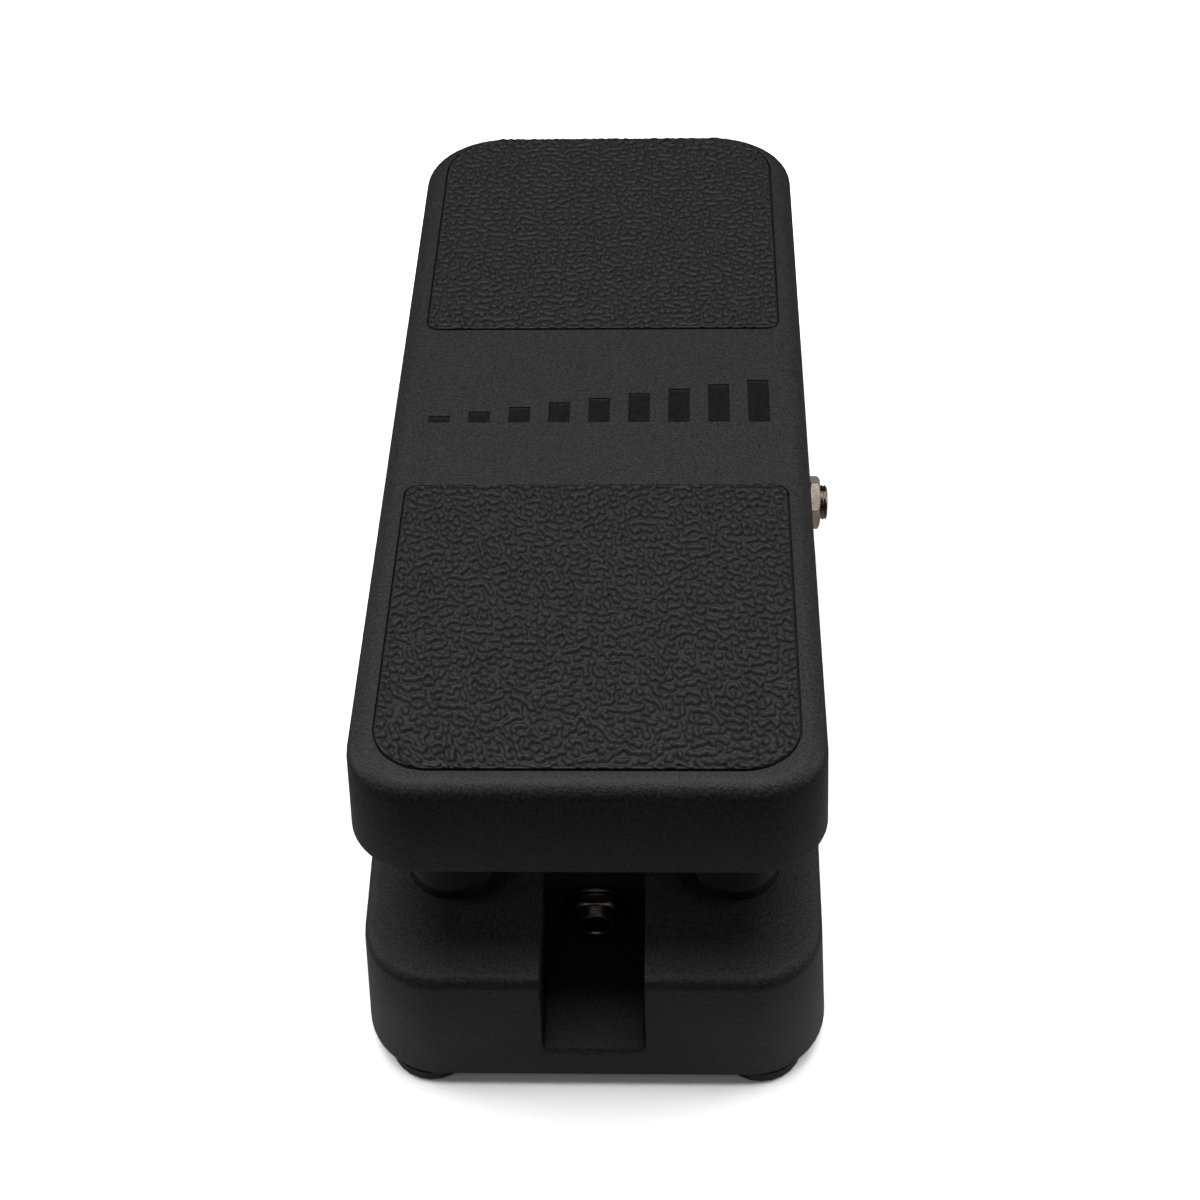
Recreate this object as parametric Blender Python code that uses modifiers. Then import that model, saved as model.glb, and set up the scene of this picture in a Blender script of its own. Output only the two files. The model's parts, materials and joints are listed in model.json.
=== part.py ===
"""Rocker expression pedal: a die-cast base, a rocking treadle, and the gear train that turns a potentiometer.

The frame is in metres, +Z up. X runs across the pedal, +X to the right of a player's foot, and +Y runs from
heel to toe. The origin is the centre of the bottom plate's underside, and the rubber feet reach below it.
The treadle is drawn level in its own frame, whose origin is the pivot, and then rocked onto its toe stops.
"""

import math

import bmesh
import bpy
from mathutils import Matrix, Vector

# ---------------------------------------------------------------- driving dimensions (metres)
TREADLE_WIDTH = 0.100
TREADLE_LENGTH = 0.2512
TREADLE_OFFSET_Y = 0.0027
TREADLE_HEEL_CORNER = 0.0152
TREADLE_TOE_CORNER = 0.0215
TREADLE_SKIRT = 0.0244
TREADLE_DRAFT = 0.0008
TREADLE_WALL = 0.003
TREADLE_ROOF = 0.004
TREADLE_FILLET = 0.0039
EDGE_ROUND = 0.0006
TREADLE_TOP = 0.022
TOE_DOWN = math.radians(6.73)

PADS_CENTRE_Y = 0.004
PAD_WIDTH = 0.0882
PAD_LENGTH = 0.090
PAD_END_Y = 0.121
PAD_HEEL_CORNER = 0.012
PAD_TOE_CORNER = 0.0165
PAD_SMALL_CORNER = 0.003
PAD_PROUD = 0.0008
PAD_RECESS = 0.0014
PAD_GAP = 0.0005

MARK_BARS = 9
MARK_HALF_WIDTH = 0.0385
MARK_BAR_WIDTH = 0.0052
MARK_LOW = 0.0025
MARK_HIGH = 0.0165
MARK_BASE_Y = -0.0070
MARK_DEPTH = 0.0005

BASE_HALF_LENGTH = 0.1312
BASE_HALF_WIDTH = 0.0530
BASE_DRAFT = 0.0020
BASE_CORNER = 0.0180
BASE_EDGE_HEIGHT = 0.0360
BASE_SLOPE = 0.040
BASE_WALL = 0.003
BASE_FILLET = 0.003

PIVOT_Z = 0.058
SHAFT_RADIUS = 0.004
SHAFT_HALF_LENGTH = 0.0425
EAR_CENTRE_X = 0.0270
EAR_THICK = 0.0060
LUG_CENTRE_X = 0.0350
LUG_THICK = 0.0070
EAR_RADIUS = 0.0090
EAR_FOOT_HALF = 0.0130
LUG_FOOT_HALF = 0.0120
BUSHING_RADIUS = 0.0060
BUSHING_PLAY = 0.0001
BUSHING_FLANGE = 0.0012
SHAFT_CHAMFER = 0.0006
GROOVE_OUTER = 0.0405
GROOVE_INNER = 0.0393
GROOVE_RADIUS = 0.0031
RING_OUTER_RADIUS = 0.0060
RING_THICK = 0.0006

FOOT_X = 0.038
FOOT_Y = 0.121
FOOT_RADIUS = 0.0098
FOOT_HEIGHT = 0.0045
FOOT_WELL_RADIUS = 0.0040
FOOT_WELL_DEPTH = 0.0024
FOOT_BOSS_RADIUS = 0.0045
FOOT_SCREW_TOP = 0.0125
BUMPER_X = 0.032
BUMPER_Y = 0.098
BUMPER_RADIUS = 0.0096
BUMPER_PROUD = 0.0032
BUMPER_SUNK = 0.0008
STOP_POST_RADIUS = 0.0055
STOP_POST_ROOT_RADIUS = 0.0065

SLOT_WIDTH = 0.0232
SLOT_FLOOR_Z = 0.0100
SLOT_CORNER = 0.0012
SLOT_LIP = 0.0014
SLOT_LIP_START = 0.00013
SLOT_LIP_STEPS = 4
SLOT_BACK_Y = -0.0965
HEEL_JACK_Z = 0.0180
SIDE_JACK_Y = 0.030
SIDE_JACK_Z = 0.0195
SIDE_SEAT_PROUD = 0.0008
SIDE_SEAT_RADIUS = 0.0095
JACK_THREAD_RADIUS = 0.0047
JACK_SOCKET_RADIUS = 0.00325
JACK_HOLE_RADIUS = 0.0050
JACK_BODY_DEPTH = 0.024

GEAR_MODULE = 0.001
SECTOR_TEETH = 120
PINION_TEETH = 12
GEAR_EXTRA_CENTRE = 0.0001
GEAR_BACKLASH = 0.00015
GEAR_ADDENDUM = 0.00085
GEAR_DEDENDUM = 0.00120
PRESSURE_ANGLE = math.radians(20.0)
MESH_ANGLE = math.radians(-38.0)
SECTOR_LOW_ANGLE = math.radians(-52.0)
SECTOR_TOOTH_TOP = math.radians(-25.0)
SECTOR_HIGH_ANGLE = math.radians(15.0)
SECTOR_INNER_RADIUS = 0.048
SECTOR_X = -0.011
SECTOR_THICK = 0.006
PINION_THICK = 0.008

POT_RADIUS = 0.012
POT_DEPTH = 0.010
POT_SHAFT_RADIUS = 0.003
BRACKET_X = -0.0265
BRACKET_THICK = 0.0015

PLATE_THICK = 0.0015
PLATE_CORNER = 0.0175
SMALL_BOSS_Z = 0.0335
SMALL_BOSS_RADIUS = 0.0035
SMALL_BOSS_HOLE = 0.0014
SMALL_SCREW_HOLE = 0.0015
RIB_DEPTH = 0.006
RIB_X = 0.0185
TOUCH_GAP = 0.0003
ROUND_STEPS = 32
SMALL_STEPS = 20
CORNER_STEPS = 12
FILLET_STEPS = 6

# ---------------------------------------------------------------- dimensions that follow from those above
GEAR_CENTRES = (SECTOR_TEETH + PINION_TEETH) * GEAR_MODULE / 2 + GEAR_EXTRA_CENTRE
PINION_Y = GEAR_CENTRES * math.cos(MESH_ANGLE)
PINION_Z = PIVOT_Z + GEAR_CENTRES * math.sin(MESH_ANGLE)
FLANGE_TOP = TREADLE_TOP - TREADLE_ROOF - 0.0020
SECTOR_FLANGE_X = SECTOR_X + 0.0110
SECTOR_SCREWS = (("heel", 0.0430), ("toe", 0.0610))

# ---------------------------------------------------------------- how parts are turned, and their finishes
SIDE_VIEW = (math.pi / 2, 0.0, math.pi / 2)
ALONG_X = (0.0, math.pi / 2, 0.0)
ALONG_Y = (math.pi / 2, 0.0, 0.0)

# colour, roughness, metallic
FINISHES = {
    "black_powder_coat": ((0.026, 0.027, 0.029), 0.55, 0.0),
    "black_rubber": ((0.018, 0.018, 0.019), 0.75, 0.0),
    "nickel": ((0.72, 0.66, 0.55), 0.22, 1.0),
    "zinc_steel": ((0.55, 0.56, 0.58), 0.38, 1.0),
    "black_plastic": ((0.020, 0.020, 0.021), 0.45, 0.0),
    "white_nylon": ((0.78, 0.77, 0.72), 0.50, 0.0),
    "bronze": ((0.55, 0.36, 0.18), 0.35, 1.0),
}


# ---------------------------------------------------------------- scene and object helpers
def clear_scene():
    """Remove every object that the file opened with."""
    for item in list(bpy.data.objects):
        bpy.data.objects.remove(item, do_unlink=True)


def make_collection(name):
    """Return a new collection linked to the scene."""
    collection = bpy.data.collections.new(name)
    bpy.context.scene.collection.children.link(collection)
    return collection


def make_material(name, colour, roughness, metallic):
    """Return a Principled BSDF material."""
    material = bpy.data.materials.new(name)
    material.use_nodes = True
    shader = material.node_tree.nodes["Principled BSDF"]
    shader.inputs["Base Color"].default_value = (*colour, 1.0)
    shader.inputs["Roughness"].default_value = roughness
    shader.inputs["Metallic"].default_value = metallic
    return material


def add_object(name, mesh, finish, place=(0, 0, 0), turn=(0, 0, 0), parent=None, cutter=False):
    """Put a mesh in the scene as a part of the pedal, or as a hidden helper for a Boolean."""
    item = bpy.data.objects.new(name, mesh)
    (CUTTERS if cutter else PEDAL).objects.link(item)
    item.location = place
    item.rotation_euler = turn
    item.parent = parent
    if cutter:
        item.hide_render = True
        item.display_type = "WIRE"
    else:
        mesh.materials.append(MATERIALS[finish])
        mesh.shade_smooth()
        mesh.set_sharp_from_angle(angle=math.radians(35))
    return item


def mesh_from(bm, name):
    """Turn a bmesh into mesh data and free it."""
    mesh = bpy.data.meshes.new(name)
    bmesh.ops.recalc_face_normals(bm, faces=bm.faces)
    bm.to_mesh(mesh)
    bm.free()
    return mesh


def cylinder(name, radius, length, finish="", steps=SMALL_STEPS, top_radius=None, **where):
    """A cylinder or cone centred on its own origin, its axis along local Z."""
    bm = bmesh.new()
    end = radius if top_radius is None else top_radius
    bmesh.ops.create_cone(bm, cap_ends=True, segments=steps, radius1=radius, radius2=end, depth=length)
    return add_object(name, mesh_from(bm, name), finish, **where)


def box(name, size, finish="", rounding=0.0, **where):
    """A box of the given size, centred on its own origin, with its edges rounded if asked."""
    bm = bmesh.new()
    bmesh.ops.create_cube(bm, size=1.0, matrix=Matrix.Diagonal((*size, 1.0)))
    item = add_object(name, mesh_from(bm, name), finish, **where)
    if rounding:
        bevel = item.modifiers.new("rounded_edges", "BEVEL")
        bevel.width = rounding
        bevel.segments = 2
    return item


def turned(name, profile, finish="", steps=ROUND_STEPS, **where):
    """A turned solid: a closed profile of (radius, height) points, spun about local Z.

    The profile runs down the outer side, and points at radius 0 close it on the axis.
    """
    bm = bmesh.new()
    points = [bm.verts.new((radius, 0.0, height)) for radius, height in profile]
    closed = min(radius for radius, height in profile) > 0.0
    count = len(points) if closed else len(points) - 1
    for index in range(count):
        bm.edges.new((points[index], points[(index + 1) % len(points)]))
    mesh = bpy.data.meshes.new(name)
    bm.to_mesh(mesh)
    bm.free()
    item = add_object(name, mesh, finish, **where)
    screw = item.modifiers.new("turn", "SCREW")
    screw.steps = steps
    screw.render_steps = steps
    screw.use_merge_vertices = True
    screw.merge_threshold = 0.00001
    screw.use_smooth_shade = True
    return item


def flat_solid(name, outlines, thickness, finish="", **where):
    """A flat outline, with any holes, as a 2D curve given thickness and made a mesh."""
    curve = bpy.data.curves.new(name, "CURVE")
    curve.dimensions = "2D"
    curve.fill_mode = "BOTH"
    curve.extrude = thickness / 2
    for outline in outlines:
        spline = curve.splines.new("POLY")
        spline.points.add(len(outline) - 1)
        for point, (x, y) in zip(spline.points, outline):
            point.co = (x, y, 0.0, 1.0)
        spline.use_cyclic_u = True
    source = bpy.data.objects.new(name + "_outline", curve)
    CUTTERS.objects.link(source)
    graph = bpy.context.evaluated_depsgraph_get()
    flat = bpy.data.meshes.new_from_object(source.evaluated_get(graph))
    bpy.data.objects.remove(source, do_unlink=True)
    bm = bmesh.new()
    bm.from_mesh(flat)
    bmesh.ops.remove_doubles(bm, verts=bm.verts, dist=0.000001)
    bpy.data.meshes.remove(flat)
    return add_object(name, mesh_from(bm, name), finish, **where)


def tube(name, points, radius, finish):
    """A round cable along a smooth curve through the given points."""
    curve = bpy.data.curves.new(name, "CURVE")
    curve.dimensions = "3D"
    curve.bevel_depth = radius
    curve.bevel_resolution = 2
    curve.use_fill_caps = True
    smooth = smooth_route(points)
    spline = curve.splines.new("POLY")
    spline.points.add(len(smooth) - 1)
    for point, place in zip(spline.points, smooth):
        point.co = (*place, 1.0)
    curve.materials.append(MATERIALS[finish])
    item = bpy.data.objects.new(name, curve)
    PEDAL.objects.link(item)


def smooth_route(points, steps=4):
    """Points on a Catmull-Rom curve through the given ones."""
    knots = [Vector(point) for point in points]
    knots = [2 * knots[0] - knots[1]] + knots + [2 * knots[-1] - knots[-2]]
    route = []
    for a, b, c, d in zip(knots, knots[1:], knots[2:], knots[3:]):
        for step in range(steps):
            t = step / steps
            route.append(0.5 * (2 * b + (c - a) * t + (2 * a - 5 * b + 4 * c - d) * t ** 2
                                + (3 * b - a - 3 * c + d) * t ** 3))
    return route + [knots[-2]]


def combine(target, other, operation):
    """Cut a helper out of a part, or join it on, with an exact Boolean."""
    boolean = target.modifiers.new(other.name, "BOOLEAN")
    boolean.operation = operation
    boolean.object = other
    boolean.solver = "EXACT"


def cut(target, other):
    """Cut a helper out of a part."""
    combine(target, other, "DIFFERENCE")


def join(target, other):
    """Join a helper onto a part."""
    combine(target, other, "UNION")


# ---------------------------------------------------------------- outlines and lofts
def arc(centre_x, centre_y, radius, start, end, steps):
    """Points on an arc, both ends included."""
    angles = [start + (end - start) * step / steps for step in range(steps + 1)]
    return [(centre_x + radius * math.cos(a), centre_y + radius * math.sin(a)) for a in angles]


def circle(radius, steps, x=0.0, y=0.0):
    """Points on a whole circle."""
    return arc(x, y, radius, 0, 2 * math.pi, steps)[:-1]


def rounded_outline(half_x, half_y, corner, centre_y=0.0, far_corner=None):
    """A rectangle's outline with round corners, anticlockwise, with a point halfway along each long side."""
    far = corner if far_corner is None else far_corner
    quarter = math.pi / 2
    outline = [(half_x, centre_y)]
    outline += arc(half_x - far, centre_y + half_y - far, far, 0, quarter, CORNER_STEPS)
    outline += arc(far - half_x, centre_y + half_y - far, far, quarter, 2 * quarter, CORNER_STEPS)
    outline.append((-half_x, centre_y))
    outline += arc(corner - half_x, centre_y - half_y + corner, corner, 2 * quarter, 3 * quarter, CORNER_STEPS)
    outline += arc(half_x - corner, centre_y - half_y + corner, corner, 3 * quarter, 4 * quarter, CORNER_STEPS)
    return outline


def loft(name, rings, finish="", **where):
    """A closed solid through rings of equal point counts, capped by two flat halves that meet at mid length."""
    bm = bmesh.new()
    rows = [[bm.verts.new(point) for point in ring] for ring in rings]
    count = len(rows[0])
    for lower, upper in zip(rows, rows[1:]):
        for index in range(count):
            follow = (index + 1) % count
            bm.faces.new((lower[index], lower[follow], upper[follow], upper[index]))
    half = count // 2
    for row in (rows[0], rows[-1]):
        bm.faces.new(row[:half + 1])
        bm.faces.new(row[half:] + row[:1])
    return add_object(name, mesh_from(bm, name), finish, **where)


def shell_rings(half_x, half_y, corner, draft, fillet, bottom_z, top_z, centre_y=0.0, far_corner=None,
                edge=0.0):
    """Rings of a block with drafted walls and a round top edge. top_z gives the top's height at a given y.

    The half sizes are those of the bottom, whose edge can be rounded a little.
    """
    far = corner if far_corner is None else far_corner
    steps = [(0.0, bottom_z + edge, 0.0), (draft, None, fillet)]
    if edge:
        steps = [(edge, bottom_z, 0.0), (0.3 * edge, bottom_z + 0.3 * edge, 0.0)] + steps
    for step in range(1, FILLET_STEPS + 1):
        angle = math.pi / 2 * step / FILLET_STEPS
        steps.append((draft + fillet * (1 - math.cos(angle)), None, fillet * (1 - math.sin(angle))))
    rings = []
    for inset, height, drop in steps:
        outline = rounded_outline(half_x - inset, half_y - inset, corner - inset, centre_y, far - inset)
        rings.append([(x, y, top_z(y) - drop if height is None else height) for x, y in outline])
    return rings


def base_top_z(y):
    """Height of the base's top face, which rises from both ends to mid length."""
    return BASE_EDGE_HEIGHT + BASE_SLOPE * (BASE_HALF_LENGTH - BASE_DRAFT - abs(y))


def side_wall_x(z):
    """Where the drafted right-hand wall's outer face is at a height."""
    return BASE_HALF_WIDTH - BASE_DRAFT * z / BASE_EDGE_HEIGHT


# ---------------------------------------------------------------- gears
def involute(radius, base_radius):
    """The involute angle at a radius."""
    pressure = math.acos(min(1.0, base_radius / radius))
    return math.tan(pressure) - pressure


def tooth_outline(teeth, centre_angle):
    """One involute tooth's points from its lower flank to its upper one, about the gear's centre."""
    pitch = teeth * GEAR_MODULE / 2
    base_radius = pitch * math.cos(PRESSURE_ANGLE)
    root = pitch - GEAR_DEDENDUM
    tip = pitch + GEAR_ADDENDUM
    half_pitch_angle = (math.pi * GEAR_MODULE / 2 - GEAR_BACKLASH) / 2 / pitch
    radii = [root] + [root + (tip - root) * step / 4 for step in range(1, 5)]
    flank = []
    for radius in radii:
        spread = involute(pitch, base_radius) - involute(max(radius, base_radius), base_radius)
        flank.append((radius, half_pitch_angle + spread))
    lower = [(radius, centre_angle - half) for radius, half in flank]
    upper = [(radius, centre_angle + half) for radius, half in reversed(flank)]
    return [(radius * math.cos(a), radius * math.sin(a)) for radius, a in lower + upper]


def pinion_outline(phase):
    """The whole pinion, with a tooth centred on the phase angle."""
    outline = []
    for tooth in range(PINION_TEETH):
        outline += tooth_outline(PINION_TEETH, phase + 2 * math.pi * tooth / PINION_TEETH)
    return outline


def sector_outline():
    """The toothed arc and its arm, about the pivot, in the treadle's level frame."""
    pitch_angle = 2 * math.pi / SECTOR_TEETH
    root = SECTOR_TEETH * GEAR_MODULE / 2 - GEAR_DEDENDUM
    contact = MESH_ANGLE + TOE_DOWN
    first = math.ceil((SECTOR_LOW_ANGLE - contact) / pitch_angle)
    last = math.floor((SECTOR_TOOTH_TOP - contact) / pitch_angle)
    outline = [(root * math.cos(SECTOR_LOW_ANGLE), root * math.sin(SECTOR_LOW_ANGLE))]
    for tooth in range(first, last):
        outline += tooth_outline(SECTOR_TEETH, contact + (tooth + 0.5) * pitch_angle)
    outline += arc(0, 0, root, SECTOR_TOOTH_TOP + pitch_angle, SECTOR_HIGH_ANGLE, 10)
    outline += arc(0, 0, SECTOR_INNER_RADIUS, SECTOR_HIGH_ANGLE, SECTOR_LOW_ANGLE, 16)
    return outline


# ---------------------------------------------------------------- base
def make_base_casting():
    """The open-bottomed base with its jack slot, pivot ears, screw bosses and openings."""
    outside = shell_rings(BASE_HALF_WIDTH, BASE_HALF_LENGTH, BASE_CORNER, BASE_DRAFT, BASE_FILLET, 0.0,
                          base_top_z, edge=EDGE_ROUND)
    base = loft("base_casting", outside, "black_powder_coat")
    inside = shell_rings(BASE_HALF_WIDTH - BASE_WALL, BASE_HALF_LENGTH - BASE_WALL,
                         BASE_CORNER - BASE_WALL, BASE_DRAFT, BASE_FILLET, -0.001,
                         lambda y: base_top_z(y) - BASE_WALL)
    cut(base, loft("base_cavity", inside, cutter=True))
    add_slot_walls(base)
    add_ears(base)
    add_base_bosses(base)
    cut_base_openings(base)
    return base


def add_slot_walls(base):
    """Walls round the heel slot, and the slot itself with rounded lower corners."""
    front = -BASE_HALF_LENGTH
    wall_front = front + BASE_WALL
    wall_back = SLOT_BACK_Y + BASE_WALL
    top = base_top_z(SLOT_BACK_Y) - BASE_WALL / 2
    floor = SLOT_FLOOR_Z - BASE_WALL
    size = (SLOT_WIDTH + 2 * BASE_WALL, wall_back - wall_front, top - floor)
    join(base, box("slot_walls", size, place=(0, (wall_back + wall_front) / 2, (top + floor) / 2), cutter=True))
    reach = 0.010
    slot_top = base_top_z(0) + reach
    size = (SLOT_WIDTH, SLOT_BACK_Y - front + reach, slot_top - SLOT_FLOOR_Z)
    place = (0, (SLOT_BACK_Y + front - reach) / 2, (slot_top + SLOT_FLOOR_Z) / 2)
    cut(base, box("heel_slot", size, rounding=SLOT_CORNER, place=place, cutter=True))
    cut_slot_lip(base, front)


def cut_slot_lip(base, front):
    """Rounds the slot's mouth: the cutter widens towards the front along a quarter circle."""
    bm = bmesh.new()
    rows = []
    for step in range(SLOT_LIP_STEPS + 1):
        angle = math.pi / 2 * step / SLOT_LIP_STEPS
        spread = SLOT_LIP * (1 - math.cos(angle)) - SLOT_LIP_START
        y = front + SLOT_LIP * (1 - math.sin(angle)) + BASE_DRAFT * SLOT_FLOOR_Z / BASE_EDGE_HEIGHT
        half = SLOT_WIDTH / 2 + spread
        low = SLOT_FLOOR_Z - spread
        high = base_top_z(0)
        outline = ((-half, low + SLOT_CORNER), (SLOT_CORNER - half, low), (half - SLOT_CORNER, low),
                   (half, low + SLOT_CORNER), (half, high), (-half, high))
        rows.append([bm.verts.new((x, y, z)) for x, z in outline])
    rows.append([bm.verts.new((vert.co.x, front - SLOT_LIP, vert.co.z)) for vert in rows[-1]])
    count = len(rows[0])
    for lower, upper in zip(rows, rows[1:]):
        for index in range(count):
            follow = (index + 1) % count
            bm.faces.new((lower[index], lower[follow], upper[follow], upper[index]))
    bm.faces.new(rows[0])
    bm.faces.new(rows[-1])
    cut(base, add_object("slot_lip", mesh_from(bm, "slot_lip"), "", cutter=True))


def ear_outline(foot_y, foot_z):
    """An upright with a round head about the pivot, seen from the side, relative to the pivot."""
    head = arc(0, 0, EAR_RADIUS, 0, math.pi, 12)
    return [(foot_y, foot_z)] + head + [(-foot_y, foot_z)]


def add_ears(base):
    """Two ears that stand on the base's crown and hold the pivot shaft."""
    for side, sign in (("left", -1), ("right", 1)):
        foot = base_top_z(0) - BASE_WALL / 2 - PIVOT_Z
        outlines = [ear_outline(EAR_FOOT_HALF, foot), circle(SHAFT_RADIUS + TOUCH_GAP, SMALL_STEPS)]
        ear = flat_solid("ear_" + side, outlines, EAR_THICK, place=(sign * EAR_CENTRE_X, 0, PIVOT_Z),
                         turn=SIDE_VIEW, cutter=True)
        join(base, ear)


def corner_places(x, y):
    """The four corners of a rectangle with a name for each."""
    return [("heel_left", -x, -y), ("heel_right", x, -y), ("toe_left", -x, y), ("toe_right", x, y)]


def add_base_bosses(base):
    """Bosses for the foot screws, and for the screws of the bracket and the gear guide."""
    for name, x, y in corner_places(FOOT_X, FOOT_Y):
        low = PLATE_THICK + TOUCH_GAP
        high = base_top_z(y) - BASE_WALL / 2
        join(base, cylinder("boss_" + name, FOOT_BOSS_RADIUS, high - low, place=(x, y, (high + low) / 2),
                            cutter=True))
        cut(base, cylinder("boss_hole_" + name, 0.0018, 0.016, place=(x, y, low + 0.007), cutter=True,
                           steps=12))
    for name, x, y in small_boss_places():
        low = SMALL_BOSS_Z
        high = base_top_z(y) - BASE_WALL / 2
        join(base, cylinder("boss_" + name, SMALL_BOSS_RADIUS, high - low, place=(x, y, (high + low) / 2),
                            cutter=True))
        cut(base, cylinder("boss_hole_" + name, SMALL_BOSS_HOLE, 0.0060, place=(x, y, low + 0.0020),
                           cutter=True, steps=12))


def small_boss_places():
    """Name, x and y of each small boss under the base's roof."""
    bracket = [("bracket_" + name, -0.0370, PINION_Y + sign * 0.010) for name, sign in (("heel", -1), ("toe", 1))]
    return bracket + [("guide", SECTOR_X, 0.0290)]


def cut_base_openings(base):
    """The sector's slot, both jack holes and the seats of the rubber bumpers."""
    slot_size = (SECTOR_THICK + 0.004, 0.0200, 0.030)
    cut(base, box("sector_slot", slot_size, place=(SECTOR_X, 0.0520, base_top_z(0.052)), cutter=True))
    cut(base, cylinder("heel_jack_hole", JACK_HOLE_RADIUS, 0.012, place=(0, SLOT_BACK_Y, HEEL_JACK_Z),
                       turn=ALONG_Y, cutter=True))
    seat_x = side_wall_x(SIDE_JACK_Z)
    seat_depth = 0.0022 + SIDE_SEAT_PROUD
    seat_place = (seat_x + SIDE_SEAT_PROUD - seat_depth / 2, SIDE_JACK_Y, SIDE_JACK_Z)
    join(base, cylinder("side_jack_seat", SIDE_SEAT_RADIUS, seat_depth, place=seat_place, turn=ALONG_X,
                        cutter=True, steps=ROUND_STEPS))
    cut(base, cylinder("side_jack_hole", JACK_HOLE_RADIUS, 0.020, place=(seat_x, SIDE_JACK_Y, SIDE_JACK_Z),
                       turn=ALONG_X, cutter=True))
    for name, x, y in corner_places(BUMPER_X, BUMPER_Y):
        tilt = -math.copysign(math.atan(BASE_SLOPE), y)
        depth = 0.004
        place = (x, y, base_top_z(y) - BUMPER_SUNK + depth / 2)
        cut(base, cylinder("bumper_seat_" + name, BUMPER_RADIUS + TOUCH_GAP, depth, place=place,
                           turn=(tilt, 0, 0), cutter=True))


def make_bottom_plate():
    """The steel plate that closes the base, with clearance holes for the foot screws."""
    inset = BASE_WALL + 2 * TOUCH_GAP
    outline = rounded_outline(BASE_HALF_WIDTH - inset, BASE_HALF_LENGTH - inset, PLATE_CORNER)
    holes = [circle(0.0020, 12, x, y) for name, x, y in corner_places(FOOT_X, FOOT_Y)]
    flat_solid("bottom_plate", [outline] + holes, PLATE_THICK, "zinc_steel", place=(0, 0, PLATE_THICK / 2))


def make_feet():
    """Four rubber feet, each held by the screw that also holds the bottom plate."""
    top = -TOUCH_GAP
    bottom = -FOOT_HEIGHT
    well = bottom + FOOT_WELL_DEPTH
    profile = [(FOOT_RADIUS, top), (FOOT_RADIUS - 0.0002, bottom + 0.0010), (FOOT_RADIUS - 0.0010, bottom),
               (FOOT_WELL_RADIUS, bottom), (FOOT_WELL_RADIUS, well), (0.0020, well), (0.0020, top)]
    head_z = well - TOUCH_GAP
    screw_profile = [(0.0, FOOT_SCREW_TOP), (0.0014, FOOT_SCREW_TOP), (0.0014, head_z), (0.0033, head_z),
                     (0.0033, head_z - 0.0009), (0.0022, head_z - 0.0016), (0.0, head_z - 0.0016)]
    for name, x, y in corner_places(FOOT_X, FOOT_Y):
        turned("foot_" + name, profile, "black_rubber", steps=24, place=(x, y, 0))
        screw = turned("foot_screw_" + name, screw_profile, "zinc_steel", steps=16, place=(x, y, 0))
        cut_cross(screw, 0.0038, (x, y, head_z - 0.0016))


def make_bumpers():
    """Four rubber stops that the treadle's stop posts land on."""
    thick = BUMPER_PROUD + BUMPER_SUNK - TOUCH_GAP
    profile = [(0.0, thick), (BUMPER_RADIUS - 0.0012, thick), (BUMPER_RADIUS - 0.0003, thick - 0.0005),
               (BUMPER_RADIUS, thick - 0.0014), (BUMPER_RADIUS, 0.0), (0.0, 0.0)]
    for name, x, y in corner_places(BUMPER_X, BUMPER_Y):
        tilt = -math.copysign(math.atan(BASE_SLOPE), y)
        place = (x, y, base_top_z(y) - BUMPER_SUNK + TOUCH_GAP)
        turned("bumper_" + name, profile, "black_rubber", steps=24, place=place, turn=(tilt, 0, 0))


def make_pivot_shaft():
    """The steel shaft through both ears, with a groove near each end, and its retaining rings."""
    end = SHAFT_HALF_LENGTH
    upper = [(0.0, end), (SHAFT_RADIUS - SHAFT_CHAMFER, end), (SHAFT_RADIUS, end - SHAFT_CHAMFER),
             (SHAFT_RADIUS, GROOVE_OUTER), (GROOVE_RADIUS, GROOVE_OUTER), (GROOVE_RADIUS, GROOVE_INNER),
             (SHAFT_RADIUS, GROOVE_INNER)]
    lower = [(radius, -height) for radius, height in reversed(upper)]
    turned("pivot_shaft", upper + lower, "zinc_steel", steps=SMALL_STEPS, place=(0, 0, PIVOT_Z), turn=ALONG_X)
    for side, sign in (("left", -1), ("right", 1)):
        ring = arc(0, 0, RING_OUTER_RADIUS, math.radians(-60), math.radians(240), 16)
        ring += arc(0, 0, GROOVE_RADIUS + 0.0002, math.radians(240), math.radians(-60), 16)
        middle = sign * (GROOVE_OUTER + GROOVE_INNER) / 2
        flat_solid("retaining_ring_" + side, [ring], RING_THICK, "zinc_steel", place=(middle, 0, PIVOT_Z),
                   turn=SIDE_VIEW)


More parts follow.
